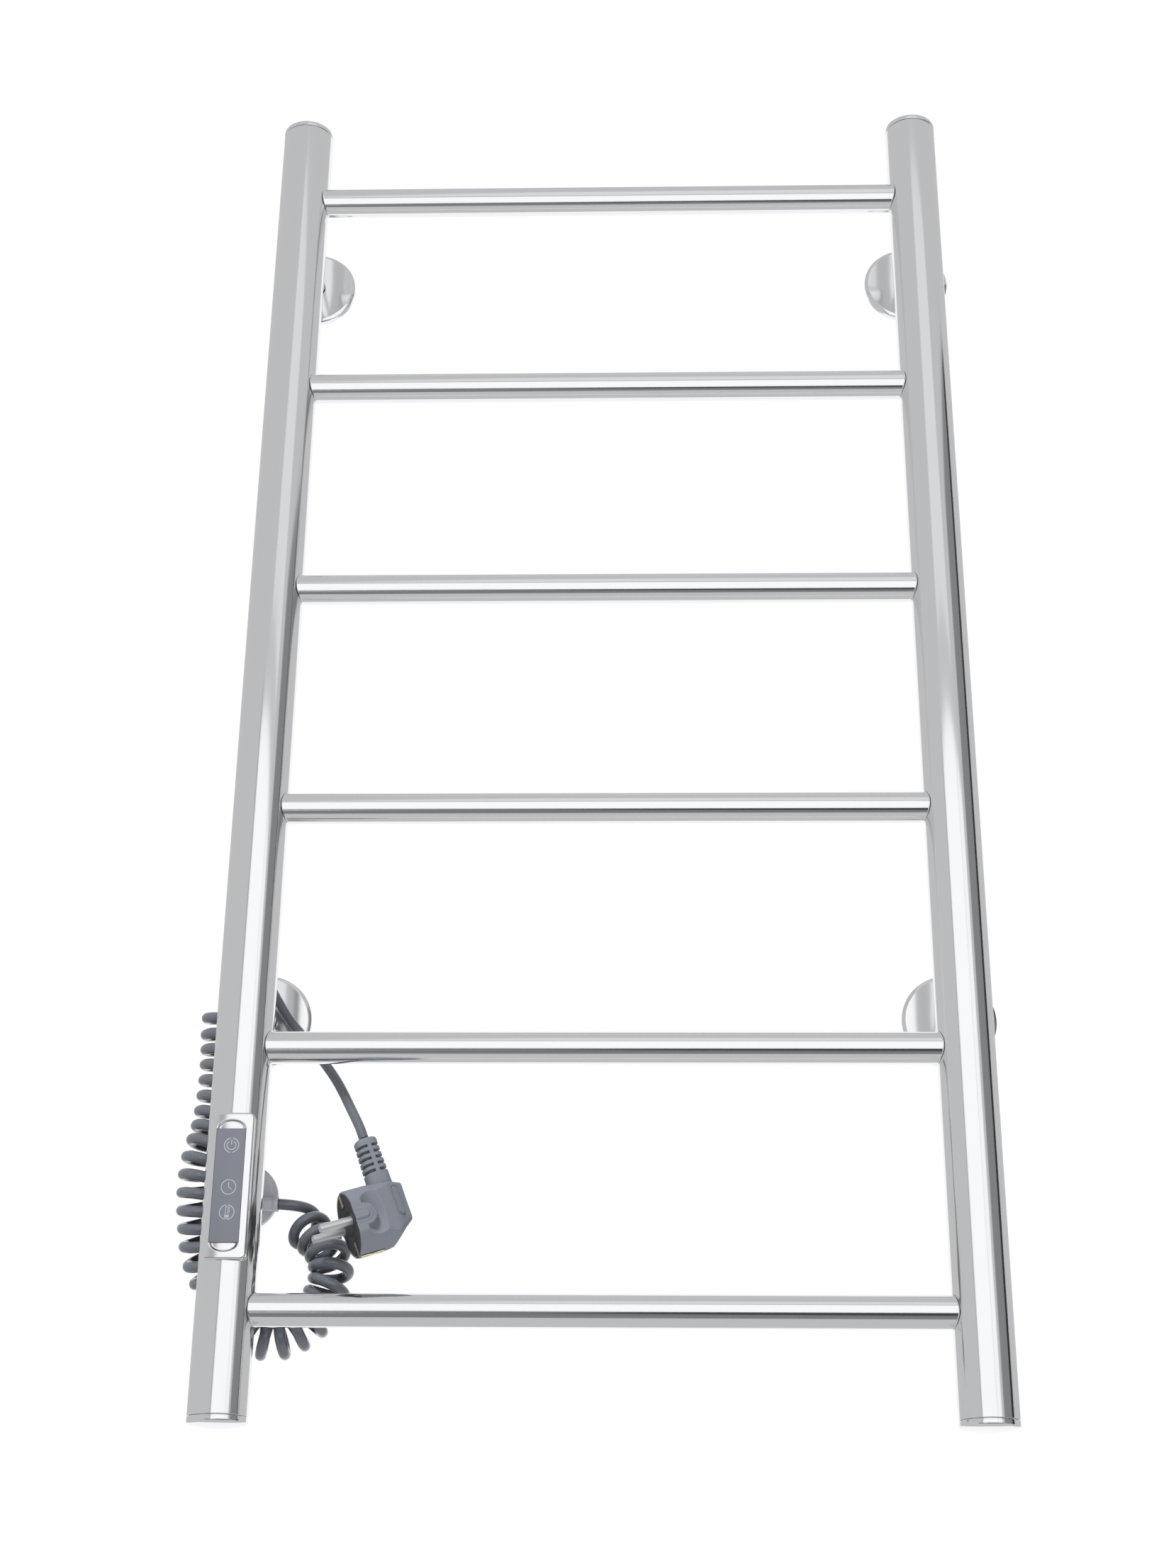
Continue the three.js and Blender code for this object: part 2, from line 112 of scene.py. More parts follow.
# ---- the cord's route in millimetres; the curl runs a little past its CAD solid ----
CORD_EXIT = ((-179.1, -36, 116.8), (-176.4, -36, 116.6))
COIL_ROUTE = (
    (-168.0, -24, 107.5), (-160.5, -29, 101.6), (-151.7, -34, 91.5), (-148.4, -36, 79.6),
    (-150.5, -36, 68.1), (-157.6, -35, 55.5), (-168.3, -33, 47.7), (-180.7, -31, 45.0),
    (-194.7, -31, 50.0), (-205.8, -33.4, 60.8), (-213.3, -36.4, 75.6), (-219.0, -40.2, 91.0),
    (-222.2, -43.6, 117.3), (-221.8, -43, 138.6), (-218.2, -39.4, 159.3), (-216.6, -38.2, 179.4),
    (-216.4, -37.9, 198), (-217.2, -37.9, 211), (-218.6, -38, 223), (-218.5, -37.5, 233),
)
PLUG_TAIL = (
    (-200, -36, 245.8), (-192.5, -36, 241.5), (-187.5, -36.5, 234), (-180.4, -37.5, 223),
    (-172.3, -39, 213.2), (-163.9, -41.5, 203.4), (-155.9, -44.5, 193), (-149.7, -46.8, 184.2),
    (-145, -48.6, 176.2), (-141, -50.1, 168.6), (-137.4, -51.2, 161.8), (-134.4, -51.9, 155.8),
    (-132.1, -52, 150),
)


# ---- frame measures ----
def centre(node):
    """Middle of a CAD node's box, as an array."""
    low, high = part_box(node)
    return (np.array(low) + np.array(high)) / 2


def extent(node):
    """Size of a CAD node's box, as an array."""
    low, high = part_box(node)
    return np.array(high) - np.array(low)


# ---- surfaces ----
def linked(name, data):
    """A new object in the scene that holds the data."""
    made = bpy.data.objects.new(name, data)
    bpy.context.scene.collection.objects.link(made)
    return made


def flat_mesh(name, vertices, faces):
    """A linked mesh object, exactly as given."""
    mesh = bpy.data.meshes.new(name)
    mesh.from_pydata(np.asarray(vertices, float).tolist(), [], faces)
    return linked(name, mesh)


def new_mesh(name, vertices, faces, sharp_degrees=35):
    """A mesh object from arrays, smooth except along edges sharper than the angle."""
    piece = flat_mesh(name, vertices, faces)
    mesh = piece.data
    mesh.validate()
    tidy = bmesh.new()
    tidy.from_mesh(mesh)
    bmesh.ops.remove_doubles(tidy, verts=tidy.verts, dist=1e-7)
    bmesh.ops.recalc_face_normals(tidy, faces=tidy.faces)
    tidy.to_mesh(mesh)
    tidy.free()
    mesh.shade_smooth()
    mesh.set_sharp_from_angle(angle=math.radians(sharp_degrees))
    return piece


def grid_faces(rows, columns, wrap):
    """Quads of a grid of rows and columns, the columns closing on themselves if wrapped."""
    last = columns if wrap else columns - 1
    row, column = np.meshgrid(np.arange(rows - 1), np.arange(last), indexing="ij")
    following = (column + 1) % columns
    corners = (row * columns + column, row * columns + following)
    opposite = ((row + 1) * columns + following, (row + 1) * columns + column)
    return np.stack([*corners, *opposite], -1).reshape(-1, 4).tolist()


def end_discs(rows, count, starts=(0, -1)):
    """Faces over a wrapped grid's first and last rows, or over the last row only."""
    first = {0: 0, -1: count * (rows - 1)}
    return [list(range(first[start], first[start] + count)) for start in starts]


def turned(name, profile, origin, axis, segments=96, sharp_degrees=35):
    """Surface of revolution: radius and height pairs turned about the axis through the origin."""
    profile = np.asarray(profile, float)
    angle = np.linspace(0, 2 * np.pi, segments, endpoint=False)
    radius = profile[:, :1]
    around = np.stack([radius * np.cos(angle), radius * np.sin(angle)], -1)
    height = np.broadcast_to(profile[:, 1:], radius.shape[:1] + angle.shape)[..., None]
    grid = np.concatenate([around, height], -1).reshape(-1, 3)
    turn = Vector((0, 0, 1)).rotation_difference(Vector(axis)).to_matrix()
    points = grid @ np.array(turn).T + np.asarray(origin)
    return new_mesh(name, points, grid_faces(len(profile), segments, True), sharp_degrees)


def arc(middle, radius, start, end, count=6):
    """Points on a circular arc, the angles in degrees."""
    angle = np.radians(np.linspace(start, end, count))
    points = zip(np.cos(angle), np.sin(angle))
    return [(middle[0] + radius * across, middle[1] + radius * up) for across, up in points]


def unit(vectors):
    """Vectors of length one."""
    return vectors / np.linalg.norm(vectors, axis=-1, keepdims=True)


def carried_frames(path):
    """Tangents along a path, with a normal and a binormal carried along without twist."""
    tangent = unit(np.gradient(path, axis=0))
    normal = np.empty_like(tangent)
    start = np.cross(tangent[0], (0.0, 1.0, 0.0))
    normal[0] = start / np.linalg.norm(start)
    for i in range(1, len(path)):
        carried = normal[i - 1] - tangent[i] * normal[i - 1].dot(tangent[i])
        normal[i] = carried / np.linalg.norm(carried)
    return tangent, normal, np.cross(tangent, normal)


def swept(name, path, radii, sides):
    """Round section carried along a path, a radius for each point, with a flat disc at each end."""
    _, normal, binormal = carried_frames(path)
    angle = np.linspace(0, 2 * np.pi, sides, endpoint=False)
    ring = np.cos(angle)[None, :, None] * normal[:, None]
    ring = ring + np.sin(angle)[None, :, None] * binormal[:, None]
    points = (path[:, None] + radii[:, None, None] * ring).reshape(-1, 3)
    faces = grid_faces(len(path), sides, True) + end_discs(len(path), sides)
    return new_mesh(name, points, faces, 60)


def smooth_route(points, step):
    """A Catmull-Rom curve through the points, resampled at equal steps of arc length."""
    points = np.asarray(points, float)
    ends = np.array([2 * points[0] - points[1], 2 * points[-1] - points[-2]])
    padded = np.vstack([ends[:1], points, ends[1:]])
    share = np.linspace(0, 1, 24, endpoint=False)[:, None]
    spans = []
    for a, b, c, d in zip(padded, padded[1:], padded[2:], padded[3:]):
        cubic = 2 * b + (c - a) * share + (2 * a - 5 * b + 4 * c - d) * share**2
        spans.append((cubic + (3 * b - a - 3 * c + d) * share**3) / 2)
    return resampled(np.vstack(spans + [points[-1:]]), step)


def travelled_along(points):
    """Arc length at each point of a line."""
    return np.concatenate([[0], np.cumsum(np.linalg.norm(np.diff(points, axis=0), axis=1))])


def resampled(points, step):
    """The same line with points at equal steps of arc length."""
    travelled = travelled_along(points)
    wanted = np.linspace(0, travelled[-1], max(2, int(travelled[-1] / step)))
    return np.stack([np.interp(wanted, travelled, points[:, k]) for k in range(3)], -1)


def box_piece(name, low, high, edge):
    """A box between two corners with rounded edges, beveled in bmesh."""
    low, high = np.asarray(low, float), np.asarray(high, float)
    shape = bmesh.new()
    bmesh.ops.create_cube(shape, size=1.0)
    scale = Matrix.Diagonal((*(high - low), 1.0))
    bmesh.ops.transform(shape, matrix=Matrix.Translation((high + low) / 2) @ scale, verts=shape.verts)
    bmesh.ops.bevel(shape, geom=shape.edges[:], offset=edge, segments=3, profile=0.5, affect="EDGES")
    mesh = bpy.data.meshes.new(name)
    bmesh.ops.recalc_face_normals(shape, faces=shape.faces)
    shape.to_mesh(mesh)
    shape.free()
    mesh.shade_smooth()
    mesh.set_sharp_from_angle(angle=math.radians(40))
    return linked(name, mesh)


# ---- materials ----
def socket(tree, name, kind, default=None, direction="INPUT"):
    """Adds one socket to a node group's interface."""
    made = tree.interface.new_socket(name=name, in_out=direction, socket_type=kind)
    if default is not None:
        made.default_value = default
    return made


def grain_group():
    """Surface grain: object-space noise at two scales gives a 0-1 value and a bumped normal."""
    name = "surface grain"
    if name in bpy.data.node_groups:
        return bpy.data.node_groups[name]
    tree = bpy.data.node_groups.new(name, "ShaderNodeTree")
    socket(tree, "Scale", "NodeSocketFloat", 500.0)
    socket(tree, "Bump", "NodeSocketFloat", 0.1)
    socket(tree, "Height", "NodeSocketFloat", 0.0001)
    socket(tree, "Value", "NodeSocketFloat", direction="OUTPUT")
    socket(tree, "Broad", "NodeSocketFloat", direction="OUTPUT")
    socket(tree, "Normal", "NodeSocketVector", direction="OUTPUT")
    given = tree.nodes.new("NodeGroupInput")
    result = tree.nodes.new("NodeGroupOutput")
    place = tree.nodes.new("ShaderNodeTexCoord")
    fine = tree.nodes.new("ShaderNodeTexNoise")
    broad = tree.nodes.new("ShaderNodeTexNoise")
    bump = tree.nodes.new("ShaderNodeBump")
    fine.inputs["Detail"].default_value = 3.0
    broad.inputs["Scale"].default_value = 26.0
    broad.inputs["Detail"].default_value = 2.0
    link = tree.links.new
    link(place.outputs["Object"], fine.inputs["Vector"])
    link(place.outputs["Object"], broad.inputs["Vector"])
    link(given.outputs["Scale"], fine.inputs["Scale"])
    link(given.outputs["Bump"], bump.inputs["Strength"])
    link(given.outputs["Height"], bump.inputs["Distance"])
    link(fine.outputs["Fac"], bump.inputs["Height"])
    link(fine.outputs["Fac"], result.inputs["Value"])
    link(broad.outputs["Fac"], result.inputs["Broad"])
    link(bump.outputs["Normal"], result.inputs["Normal"])
    return tree


def material(name, colour, metallic, roughness, scale, bump, height, speckle, coat=0.0, specular=0.5):
    """One finish: a base colour varied by the grain, and a roughness that follows it."""
    made = bpy.data.materials.new(name)
    made.use_nodes = True
    nodes = made.node_tree.nodes
    link = made.node_tree.links.new
    shader = nodes["Principled BSDF"]
    grain = nodes.new("ShaderNodeGroup")
    grain.node_tree = grain_group()
    grain.inputs["Scale"].default_value = scale
    grain.inputs["Bump"].default_value = bump
    grain.inputs["Height"].default_value = height
    shade = nodes.new("ShaderNodeMixRGB")
    shade.inputs[1].default_value = (*[c * (1 - speckle) for c in colour], 1)
    shade.inputs[2].default_value = (*[min(1.0, c * (1 + speckle)) for c in colour], 1)
    spread = nodes.new("ShaderNodeMapRange")
    spread.inputs["To Min"].default_value = roughness[0]
    spread.inputs["To Max"].default_value = roughness[1]
    link(grain.outputs["Value"], shade.inputs[0])
    link(grain.outputs["Broad"], spread.inputs["Value"])
    link(shade.outputs[0], shader.inputs["Base Color"])
    link(spread.outputs["Result"], shader.inputs["Roughness"])
    link(grain.outputs["Normal"], shader.inputs["Normal"])
    shader.inputs["Metallic"].default_value = metallic
    shader.inputs["Coat Weight"].default_value = coat
    shader.inputs["Specular IOR Level"].default_value = specular
    return made


FINISHES = {
    # use: (colour, metallic, roughness range, grain scale, bump, height, speckle, coat, specular)
    "polished_chrome": ("chrome", 1.0, (0.015, 0.05), 90, 0.05, 0.00002, 0.01, 0.0),
    "plain_steel": ("steel", 1.0, (0.08, 0.16), 900, 0.15, 0.00005, 0.05, 0.0),
    "brass": ("brass", 1.0, (0.28, 0.42), 900, 0.1, 0.00005, 0.05, 0.0),
    "slate_glass": ("glass", 0.0, (0.05, 0.12), 1500, 0.0, 0.00001, 0.04, 0.0, 0.2),
    # black_plastic also serves for the painted recess shade under the earth strips.
    "black_plastic": ("black", 0.0, (0.35, 0.5), 1800, 0.2, 0.00005, 0.1, 0.0),
    "circuit_board": ("board", 0.0, (0.3, 0.45), 700, 0.1, 0.00005, 0.15, 0.2),
    "cable_jacket": ("jacket", 0.0, (0.45, 0.6), 1200, 0.2, 0.00005, 0.06, 0.0),
    "light_grey_plastic": ("light_grey", 0.0, (0.25, 0.36), 1500, 0.15, 0.00004, 0.04, 0.15),
    "slate_plastic": ("slate", 0.0, (0.34, 0.46), 1700, 0.25, 0.00006, 0.07, 0.0),
    "cord_jacket": ("slate", 0.0, (0.2, 0.3), 800, 0.12, 0.00005, 0.05, 0.6),
    "icon_print": ("icon", 0.0, (0.3, 0.4), 1500, 0.0, 0.00001, 0.03, 0.0),
}


def finish(use):
    """The material of one finish, made once."""
    if use in bpy.data.materials:
        return bpy.data.materials[use]
    colour, *rest = FINISHES[use]
    return material(use, getattr(bpy.context.scene.rack_colours, colour), *rest)


def place(piece, use, body=RACK, nodes=(), slot=None):
    """Gives a piece its finish and its body, and hides the CAD nodes it stands for; the slot is not used."""
    piece.data.materials.append(finish(use))
    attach(piece, body)
    slot or use
    if nodes:
        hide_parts(*nodes)
    return piece


def keep(node, use):
    """Leaves a CAD node showing, with a procedural finish."""
    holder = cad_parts[node]
    holder.data.materials.clear()
    holder.data.materials.append(finish(use))


# ---- ladder ----
def upright_piece(side, sizes):
    """A tube from end to end with softened cut edges."""
    node = f"upright_{side}"
    size = extent(node)
    middle = centre(node)
    edge = sizes.tube_edge
    radius, half, bore = size[0] / 2, size[2] / 2, size[0] / 2 - 1.5 * MM
    profile = [(bore, -half)] + arc((radius - edge, -half + edge), edge, -90, 0)
    profile += arc((radius - edge, half - edge), edge, 0, 90) + [(bore, half), (bore, -half)]
    return place(turned(node + "_tube", profile, middle, (0, 0, 1), 128), "polished_chrome", nodes=[node])


def rung_piece(number, sizes):
    """A tube whose ends follow the uprights' round sides, x = half - sqrt(R^2 - y^2), with a fillet."""
    node = f"rung_{number}"
    middle = centre(node)
    radius = extent(node)[2] / 2
    upright = extent("upright_left")[0] / 2
    half = abs(centre("upright_left")[0])
    flare = sizes.weld_fillet
    angle = np.linspace(0, 2 * np.pi, 96, endpoint=False)
    saddle = half - np.sqrt(upright**2 - (radius * np.cos(angle)) ** 2)
    turn = np.linspace(0, np.pi / 2, 7)
    back, rise = flare * (1 - np.sin(turn)), flare * (1 - np.cos(turn))
    rows = []
    for sign, order in ((-1, slice(None, None, -1)), (1, slice(None))):
        for inset, grow in list(zip(back, rise))[order]:
            across, up = (radius + grow) * np.cos(angle), (radius + grow) * np.sin(angle)
            rows.append(np.stack([sign * (saddle - inset), across, up], -1))
    points = np.concatenate(rows) + middle
    piece = new_mesh(node + "_tube", points, grid_faces(len(rows), len(angle), True), 50)
    return place(piece, "polished_chrome", nodes=[node])


def cap_piece(level, side):
    """A band flush with the tube and a shallow dome: height = rise * sqrt(1 - (r / R)^2)."""
    node = f"cap_{level}_{side}"
    sign = 1 if level == "top" else -1
    low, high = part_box(node)
    radius = (high[0] - low[0]) / 2
    seam = 0.3 * MM
    band, rise = 2.8 * MM, 2.7 * MM
    edge = 0.2 * MM
    profile = [(radius - 1.8 * MM, seam - 8 * MM), (radius - 1.8 * MM, seam)]
    profile += arc((radius - edge, seam + edge), edge, -90, 0, 4) + [(radius, band)]
    angle = np.radians(np.linspace(6, 90, 16))
    profile += list(zip(radius * np.cos(angle), band + rise * np.sin(angle)))
    profile[-1] = (0, band + rise)
    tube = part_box(f"upright_{side}")
    start = tube[1][2] if sign > 0 else tube[0][2]
    origin = ((low[0] + high[0]) / 2, (low[1] + high[1]) / 2, start)
    piece = turned(node + "_dome", profile, origin, (0, 0, sign), 128)
    return place(piece, "polished_chrome", nodes=[node])


class LadderOperator(bpy.types.Operator):
    """Uprights, rungs and end caps"""

    bl_idname = "towel_warmer.ladder"
    bl_label = "Ladder"

    def execute(self, context):
        """Builds every tube and cap."""
        sizes = context.scene.rack_sizes
        for side in SIDES:
            upright_piece(side, sizes)
            for level in LEVELS:
                cap_piece(level, side)
        for number in RUNGS:
            rung_piece(number, sizes)
        return {"FINISHED"}


# ---- brackets ----
def rosette_piece(level, side):
    """A cover disc with a bevelled rim, hollow behind."""
    node = f"rosette_{level}_{side}"
    middle, size = centre(node), extent(node)
    radius, depth = size[0] / 2, size[1]
    hub, wall = 7.3 * MM, 1.2 * MM
    front = depth / 2
    profile = [(hub, front - wall), (hub, front - 0.3 * MM), (hub + 0.3 * MM, front)]
    profile += arc((radius - 2.2 * MM, front - 0.6 * MM), 0.6 * MM, 90, 60, 4)
    profile += arc((radius - 0.6 * MM, front - 1.6 * MM), 0.6 * MM, 50, 0, 5)
    profile += [(radius, -front), (radius - wall, -front), (radius - wall, front - 2 * MM)]
    profile += [(radius - 2.6 * MM, front - wall), (hub, front - wall)]
    piece = turned(node + "_disc", profile, middle, (0, -1, 0), 128, 30)
    return place(piece, "polished_chrome", body=node, nodes=[node])


def post_piece(level, side):
    """The round post from the upright's back to the wall, its front end inside the weld."""
    node = f"bracket_post_{level}_{side}"
    low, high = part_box(node)
    middle = centre(node)
    radius = (high[0] - low[0]) / 2
    angle = np.linspace(0, 2 * np.pi, 64, endpoint=False)
    upright = extent("upright_left")[0] / 2
    axis_y = centre("upright_left")[1]
    saddle = axis_y + np.sqrt(upright**2 - (radius * np.cos(angle)) ** 2)
    x, z = radius * np.cos(angle) + middle[0], radius * np.sin(angle) + middle[2]
    rows = [np.stack([x, saddle, z], -1), np.stack([x, np.full_like(x, high[1]), z], -1)]
    bore_share = 0.75
    bore = rows[-1].copy()
    bore[:, 0] = middle[0] + bore_share * (x - middle[0])
    bore[:, 2] = middle[2] + bore_share * (z - middle[2])
    rows.append(bore)
    piece = new_mesh(node + "_tube", np.concatenate(rows), grid_faces(3, len(angle), True))
    return place(piece, "polished_chrome", nodes=[node])


class BracketsOperator(bpy.types.Operator):
    """Wall posts, sockets, set screws and sliding rosettes"""

    bl_idname = "towel_warmer.brackets"
    bl_label = "Brackets"

    def execute(self, context):
        """Builds the four brackets."""
        for level in LEVELS:
            for side in SIDES:
                rosette_piece(level, side)
                post_piece(level, side)
                keep(f"wall_socket_{level}_{side}", "plain_steel")
                keep(f"set_screw_{level}_{side}", "plain_steel")
        return {"FINISHED"}


# ---- touch panel ----
def perimeter(half_width, half_height, per_side):
    """Points round a rectangle, the same number on each side, starting at a lower corner."""
    share = np.linspace(-1, 1, per_side, endpoint=False)
    one = np.ones_like(share)
    sides = [(share, -one), (one, share), (-share, one), (-one, -share)]
    x = np.concatenate([a for a, _ in sides]) * half_width
    z = np.concatenate([b for _, b in sides]) * half_height
    return x, z


def rounded(x, z, half_width, half_height, corner):
    """Moves points of a rectangle's outline onto arcs in its corners."""
    over_x = np.abs(x) - (half_width - corner)
    over_z = np.abs(z) - (half_height - corner)
    inside = (over_x > 0) & (over_z > 0)
    reach = np.where(inside, np.hypot(over_x, over_z), 1)
    factor = np.where(inside, corner / reach, 1)
    x = np.where(inside, np.sign(x) * (half_width - corner + over_x * factor), x)
    z = np.where(inside, np.sign(z) * (half_height - corner + over_z * factor), z)
    return x, z


def bezel_depth(x, z, half, glass, sizes):
    """Depth behind the bezel's front: a crown across it and half a bowl beyond each end of the glass.

    The bowl's outline is half an ellipse as wide as the glass: (x / g)^2 + (beyond / reach)^2 = 1.
    """
    crown = 0.7 * MM * (x / half[0]) ** 2
    beyond = np.clip(np.abs(z) - glass[1], 0, None)
    inside = np.clip((1 - (x / glass[0]) ** 2 - (beyond / sizes.scoop_reach) ** 2) / 0.45, 0, 1)
    return crown + sizes.scoop_depth * inside * inside * (3 - 2 * inside)


def bezel_piece(sizes):
    """The panel surround: rings from the tube, over a filleted edge and crowned face, to the glass."""
    node = "panel_bezel"
    low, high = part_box(node)
    middle = centre(node)
    half = extent(node)[[0, 2]] / 2
    glass = extent("touch_glass")[[0, 2]] / 2 + 0.15 * MM
    upright = extent("upright_left")[0] / 2
    tube_x, tube_y = centre("upright_left")[:2]
    fillet = sizes.bezel_fillet
    corner = sizes.bezel_corner
    per_side = 100
    rings = []

    def outline(inset):
        wide, tall = half - inset
        return rounded(*perimeter(wide, tall, per_side), wide, tall, corner - inset)

    def add_ring(x, z, depth=0):
        face = low[1] + bezel_depth(x, z, half, glass, sizes)
        rings.append(np.stack([x + middle[0], face + depth, z + middle[2]], -1))

    rx, rz = outline(0)
    on_tube = tube_y - np.sqrt(upright**2 - np.clip(rx + middle[0] - tube_x, -upright, upright) ** 2)
    rings.append(np.stack([rx + middle[0], on_tube + 0.1 * MM, rz + middle[2]], -1))
    for turn in np.radians(np.linspace(0, 90, 9)):
        add_ring(*outline(fillet * (1 - np.sin(np.pi / 2 - turn))), fillet * (1 - np.sin(turn)))
    outer_x, outer_z = outline(fillet)
    inner_x, inner_z = perimeter(*glass, per_side)
    for share in np.linspace(0, 1, 56)[1:]:
        add_ring(outer_x + (inner_x - outer_x) * share, outer_z + (inner_z - outer_z) * share)
    deep = rings[-1].copy()
    deep[:, 1] = low[1] + 2.0 * MM
    rings.append(deep)
    count = len(rings[0])
    piece = new_mesh(node + "_shell", np.concatenate(rings), grid_faces(len(rings), count, True), 32)
    return place(piece, "polished_chrome", nodes=[node])


def stroke(points, width, closed=False):
    """A flat ribbon of constant width along points in the x-z plane."""
    points = np.asarray(points, float)
    if closed:
        along = np.roll(points, -1, 0) - np.roll(points, 1, 0)
    else:
        along = np.gradient(points, axis=0)
    across = unit(np.stack([-along[:, 1], along[:, 0]], -1)) * width / 2
    return points - across, points + across, closed


def circle_points(radius, start, end, count=40, middle=(0, 0)):
    """Points on an arc in the icon's plane, degrees from the right, anticlockwise."""
    return np.array(arc(middle, radius, start, end, count))


def power_icon(r, w):
    """A ring split above and below, round the power sign."""
    return [
        stroke(circle_points(r, 98, 262), w), stroke(circle_points(r, -82, 82), w),
        stroke(circle_points(r * 0.62, 125, 415), w), stroke([(0, r * 0.1), (0, r * 0.72)], w),
    ]


def clock_icon(r, w):
    """A full ring with two hands."""
    hands = [(0, r * 0.66), (0, 0), (r * 0.42, -r * 0.3)]
    return [stroke(circle_points(r, 0, 360, 61)[:-1], w, True), stroke(hands, w)]


def thermometer_icon(r, w):
    """A split ring round a thermometer with a bulb and scale marks."""
    stem = r * 0.17
    top, low = r * 0.66, -r * 0.28
    bulb = circle_points(r * 0.3, 125, 415, 30, (0, low - r * 0.26))
    outline = np.vstack([bulb, [(stem, top)], circle_points(stem, 0, 180, 12, (0, top)), bulb[:1]])
    drop = circle_points(r * 0.1, 0, 360, 17, (0, low - r * 0.26))[:-1]
    marks = (0.05, 0.25, 0.45, 0.65)
    ticks = [stroke([(stem * 1.6, mark * r), (stem * 2.7, mark * r)], w * 0.8) for mark in marks]
    ring = [stroke(circle_points(r, 98, 262), w), stroke(circle_points(r, -82, 82), w)]
    return ring + [stroke(outline, w * 0.9), stroke(drop, w * 1.6, True)] + ticks


def icon_piece(name, strokes, middle):
    """Printed line art a hair above the glass."""
    vertices, faces = [], []
    for left, right, closed in strokes:
        base, count = len(vertices), len(left)
        vertices += [(*p,) for p in left] + [(*p,) for p in right]
        for i in range(count if closed else count - 1):
            j = (i + 1) % count
            faces.append((base + i, base + j, base + count + j, base + count + i))
    flat = np.array(vertices)
    points = np.stack([flat[:, 0], np.zeros(len(flat)), flat[:, 1]], -1) + middle
    return place(flat_mesh(name, points, faces), "icon_print", slot="slate_glass")


ICONS = (
    # name, drawing, height over the middle of the glass in mm
    ("power", power_icon, 21.4),
    ("clock", clock_icon, -1.2),
    ("thermometer", thermometer_icon, -14.7),
)
INSIDE = {
    "panel_gasket": "black_plastic",
    "touch_board": "circuit_board",
    "control_board": "circuit_board",
    "mains_relay": "black_plastic",
    "terminal_block": "light_grey_plastic",
    "thermal_sensor": "plain_steel",
    **{f"heating_cable_rung_{number}": "cable_jacket" for number in RUNGS},
    **{f"heating_cable_{side}": "cable_jacket" for side in SIDES},
}


class PanelOperator(bpy.types.Operator):
    """Touch panel on the left upright"""

    bl_idname = "towel_warmer.panel"
    bl_label = "Touch panel"

    def execute(self, context):
        """Builds the surround, the glass and the icons, and finishes what is inside."""
        sizes = context.scene.rack_sizes
        bezel_piece(sizes)
        low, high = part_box("touch_glass")
        face = low[1] + 0.12 * MM
        glass = box_piece("touch_glass_slab", (low[0], face, low[2]), high, 0.25 * MM)
        place(glass, "slate_glass", nodes=["touch_glass"])
        radius, line = sizes.icon_radius, sizes.icon_line
        middle = centre("touch_glass")
        for name, draw, height in ICONS:
            spot = (middle[0] + 0.6 * MM, face - 0.03 * MM, middle[2] + height * MM)
            icon_piece(f"icon_{name}", draw(radius, line), spot)
        for node, use in INSIDE.items():
            keep(node, use)
        return {"FINISHED"}


# ---- cord outlet ----
class OutletOperator(bpy.types.Operator):
    """Round cord outlet behind the left upright"""

    bl_idname = "towel_warmer.outlet"
    bl_label = "Cord outlet"

    def execute(self, context):
        """Builds the boss, with a bevelled disc, and the nozzle with its end ring."""
        low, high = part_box("cord_boss")
        middle = centre("cord_boss")
        radius = (high[0] - low[0]) / 2
        neck, front = 8.5 * MM, high[1] - 8.5 * MM
        back = high[1]
        soft = 0.5 * MM
        profile = [(neck, -low[1]), (neck, -front)]
        profile += arc((radius - 3.2 * MM, -front - soft), soft, 90, 50, 4)
        profile += arc((radius - soft, -front - 3.4 * MM), soft, 45, 0, 4)
        profile += arc((radius - 1.2 * MM, -back + 1.2 * MM), 1.2 * MM, 0, -90, 5) + [(0, -back)]
        boss = turned("cord_boss_disc", profile, (middle[0], 0, middle[2]), (0, -1, 0), 96, 30)
        place(boss, "light_grey_plastic", nodes=["cord_boss"])
        low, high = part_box("cord_nozzle")
        start = low[0]
        end = high[0] - start
        profile = [(0, 0), (4.0 * MM, 0), (3.6 * MM, end - 3 * MM), (4.0 * MM, end - 2.8 * MM)]
        profile += [(4.2 * MM, end - 2.4 * MM), (4.2 * MM, end - 0.7 * MM)]
        profile += arc((3.6 * MM, end - 0.6 * MM), 0.6 * MM, 0, 90, 5)
        profile += [(3.1 * MM, end), (3.1 * MM, end - 1 * MM)]
        middle = centre("cord_nozzle")
        nozzle = turned("cord_nozzle_collar", profile, (start, middle[1], middle[2]), (1, 0, 0), 64, 30)
        place(nozzle, "light_grey_plastic", nodes=["cord_nozzle"])
        return {"FINISHED"}


# ---- curly cord ----
def ramp(position, start, end):
    """0 before start, 1 after end, smooth between."""
    share = np.clip((position - start) / (end - start), 0, 1)
    return share * share * (3 - 2 * share)


def bridge(start, start_way, end, end_way, reach=1.0, count=40):
    """A cubic from one point to another, heading a given way at each, with a pull of reach times the gap."""
    share = np.linspace(0, 1, count)[:, None]
    pull = reach * np.linalg.norm(end - start)
    ends = start * (1 + 2 * share) * (1 - share) ** 2 + end * (3 - 2 * share) * share**2
    return ends + pull * (start_way * share * (1 - share) ** 2 - end_way * share**2 * (1 - share))


TAIL_SHARE = 0.9
POST_SHARE = 0.78
POST_STRETCH = 25 * MM
ENTRY_SHARE = 0.2
ENTRY_REACH = 1.4
PLAIN_TAIL = 90 * MM


